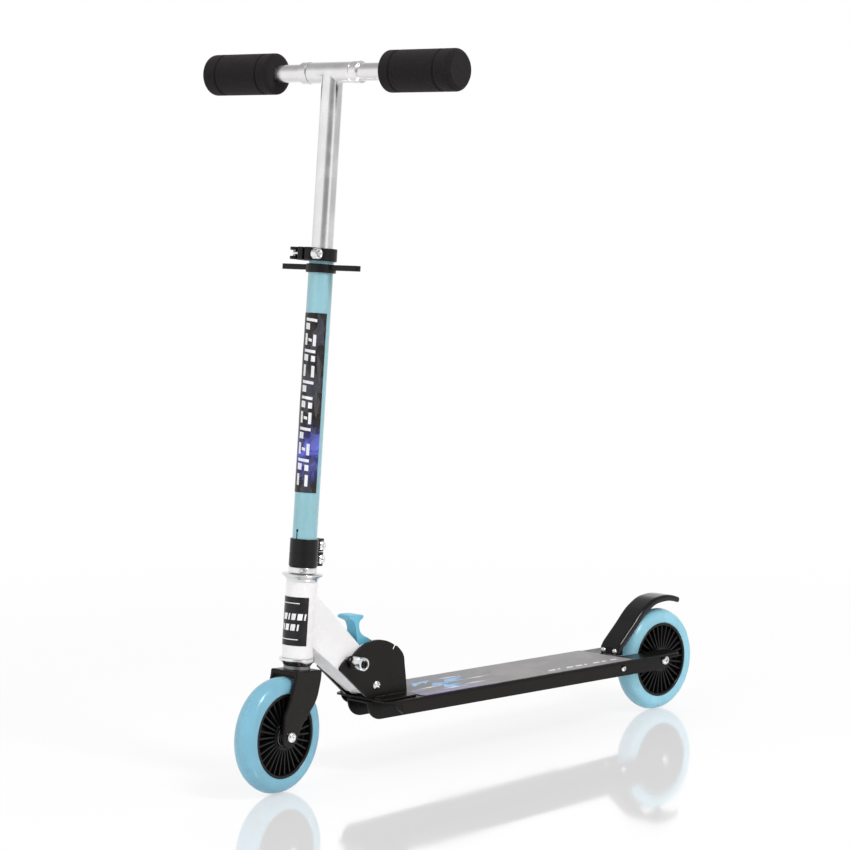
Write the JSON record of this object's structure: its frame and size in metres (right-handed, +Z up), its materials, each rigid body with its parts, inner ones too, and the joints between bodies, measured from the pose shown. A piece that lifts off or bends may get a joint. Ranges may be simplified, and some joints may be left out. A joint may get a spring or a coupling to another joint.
{
  "type": "kick scooter",
  "caption": "Folding child kick scooter with light blue wheels, black deck, white neck, adjustable handlebar with foam grips and a rear fender brake.",
  "frame": {"origin": "on the ground under the middle of the overall box, with the deck along X", "axes": "+X forward, +Y to the rider's left, +Z up"},
  "size_m": [0.7194, 0.3284, 0.7596],
  "materials": {
    "deck_pan": "satin black powder coat",
    "chassis_channel": "satin black powder coat",
    "grip_tape": "printed anti-slip sheet",
    "hinge_plate_left": "satin black powder coat",
    "hinge_plate_right": "satin black powder coat",
    "pivot_bolt": "bright zinc-plated steel",
    "pivot_nut": "bright zinc-plated steel",
    "rear_axle_bolt": "bright zinc-plated steel",
    "rear_axle_nut": "bright zinc-plated steel",
    "rear_spacer_left": "bright zinc-plated steel",
    "rear_spacer_right": "bright zinc-plated steel",
    "brake_bolt": "bright zinc-plated steel",
    "brake_nut": "bright zinc-plated steel",
    "brake_spring": "plain steel",
    "rear_tyre": "light blue polyurethane",
    "rear_hub": "moulded black plastic",
    "rear_bearing_left": "bright zinc-plated steel",
    "rear_bearing_right": "bright zinc-plated steel",
    "brake_fender": "gloss black paint",
    "brake_knuckle": "plain steel",
    "fender_screw_left": "bright zinc-plated steel",
    "fender_screw_right": "bright zinc-plated steel",
    "neck_frame": "gloss white powder coat",
    "headset_cup_lower": "polished chrome plate",
    "headset_cup_upper": "polished chrome plate",
    "head_sticker": "printed film",
    "latch_pin": "bright zinc-plated steel",
    "latch_lever": "light blue moulded plastic",
    "lock_pin": "bright zinc-plated steel",
    "lock_link": "satin black powder coat",
    "lock_knob": "bright zinc-plated steel",
    "lock_knob_bolt": "moulded black plastic",
    "fork": "satin black powder coat",
    "crown_race": "polished chrome plate",
    "headset_locknut": "polished chrome plate",
    "steering_tube": "gloss light blue paint",
    "tube_sticker": "printed film",
    "clamp_band": "moulded black plastic",
    "clamp_bolt_upper": "bright zinc-plated steel",
    "clamp_bolt_lower": "bright zinc-plated steel",
    "grip_clip": "moulded black plastic",
    "height_collar": "moulded black plastic",
    "collar_skewer": "bright zinc-plated steel",
    "collar_nut": "bright zinc-plated steel",
    "front_axle_bolt": "bright zinc-plated steel",
    "front_axle_nut": "bright zinc-plated steel",
    "front_spacer_left": "bright zinc-plated steel",
    "front_spacer_right": "bright zinc-plated steel",
    "front_tyre": "light blue polyurethane",
    "front_hub": "moulded black plastic",
    "front_bearing_left": "bright zinc-plated steel",
    "front_bearing_right": "bright zinc-plated steel",
    "collar_lever": "moulded black plastic",
    "t_bar": "polished chrome plate",
    "bar_left": "polished chrome plate",
    "grip_left": "black closed-cell foam",
    "bar_right": "polished chrome plate",
    "grip_right": "black closed-cell foam"
  },
  "bodies": {
    "deck": {"deck_pan": "deck_pan", "chassis_channel": "chassis_channel", "grip_tape": "grip_tape", "hinge_plate_left": "hinge_plate_left", "hinge_plate_right": "hinge_plate_right", "pivot_bolt": "pivot_bolt", "pivot_nut": "pivot_nut", "rear_axle_bolt": "rear_axle_bolt", "rear_axle_nut": "rear_axle_nut", "rear_spacer_left": "rear_spacer_left", "rear_spacer_right": "rear_spacer_right", "brake_bolt": "brake_bolt", "brake_nut": "brake_nut", "brake_spring": "brake_spring"},
    "rear_wheel": {"rear_tyre": "rear_tyre", "rear_hub": "rear_hub", "rear_bearing_left": "rear_bearing_left", "rear_bearing_right": "rear_bearing_right"},
    "brake": {"brake_fender": "brake_fender", "brake_knuckle": "brake_knuckle", "fender_screw_left": "fender_screw_left", "fender_screw_right": "fender_screw_right"},
    "neck": {"neck_frame": "neck_frame", "headset_cup_lower": "headset_cup_lower", "headset_cup_upper": "headset_cup_upper", "head_sticker": "head_sticker", "latch_pin": "latch_pin"},
    "latch": {"latch_lever": "latch_lever"},
    "lock": {"lock_pin": "lock_pin", "lock_link": "lock_link", "lock_knob": "lock_knob", "lock_knob_bolt": "lock_knob_bolt"},
    "column": {"fork": "fork", "crown_race": "crown_race", "headset_locknut": "headset_locknut", "steering_tube": "steering_tube", "tube_sticker": "tube_sticker", "clamp_band": "clamp_band", "clamp_bolt_upper": "clamp_bolt_upper", "clamp_bolt_lower": "clamp_bolt_lower", "grip_clip": "grip_clip", "height_collar": "height_collar", "collar_skewer": "collar_skewer", "collar_nut": "collar_nut", "front_axle_bolt": "front_axle_bolt", "front_axle_nut": "front_axle_nut", "front_spacer_left": "front_spacer_left", "front_spacer_right": "front_spacer_right"},
    "front_wheel": {"front_tyre": "front_tyre", "front_hub": "front_hub", "front_bearing_left": "front_bearing_left", "front_bearing_right": "front_bearing_right"},
    "clamp_lever": {"collar_lever": "collar_lever"},
    "handlebar": {"t_bar": "t_bar"},
    "left_bar": {"bar_left": "bar_left", "grip_left": "grip_left"},
    "right_bar": {"bar_right": "bar_right", "grip_right": "grip_right"}
  },
  "joints": [
    {"name": "rear_wheel_spin", "type": "hinge", "parent": "deck", "child": "rear_wheel", "pos_m": [-0.29966, 0, 0.06], "axis": [0, 1, 0], "continuous": true},
    {"name": "brake_press", "type": "hinge", "parent": "deck", "child": "brake", "pos_m": [-0.22566, 0, 0.06], "axis": [0, -1, 0], "range_deg": [0, 8.5], "stiffness_Nm_per_rad": 3},
    {"name": "fold", "type": "hinge", "parent": "deck", "child": "neck", "pos_m": [0.17384, 0, 0.0962], "axis": [0, -1, 0], "range_deg": [0, 86.5]},
    {"name": "latch_turn", "type": "hinge", "parent": "neck", "child": "latch", "pos_m": [0.18784, 0, 0.1365], "axis": [0, 1, 0], "range_deg": [0, 13]},
    {"name": "lock_slide", "type": "slide", "parent": "neck", "child": "lock", "axis": [-0.7627, 0, -0.6468], "range_m": [0, 0.0056]},
    {"name": "steering", "type": "hinge", "parent": "neck", "child": "column", "pos_m": [0.28124, 0, 0], "axis": [-0.0931, 0, 0.9957], "range_deg": [-98, 82]},
    {"name": "front_wheel_spin", "type": "hinge", "parent": "column", "child": "front_wheel", "pos_m": [0.3001, 0.00347, 0.05998], "axis": [-0.1403, 0.99, -0.0131], "continuous": true},
    {"name": "clamp_lever_turn", "type": "hinge", "parent": "column", "child": "clamp_lever", "pos_m": [0.25577, -0.01246, 0.55202], "axis": [-0.0931, 0, 0.9957], "range_deg": [0, 140]},
    {"name": "height_slide", "type": "slide", "parent": "column", "child": "handlebar", "axis": [-0.0931, 0, 0.9957], "range_m": [-0.07, 0.05]},
    {"name": "left_bar_slide", "type": "slide", "parent": "handlebar", "child": "left_bar", "axis": [-0.1403, 0.99, -0.0131], "range_m": [0, 0.02]},
    {"name": "right_bar_slide", "type": "slide", "parent": "handlebar", "child": "right_bar", "axis": [0.1403, -0.99, 0.0131], "range_m": [0, 0.02]}
  ],
  "couplings": [
    {"joint": "latch_turn", "follows": "lock_slide", "rad_per_m": 40.51}
  ]
}
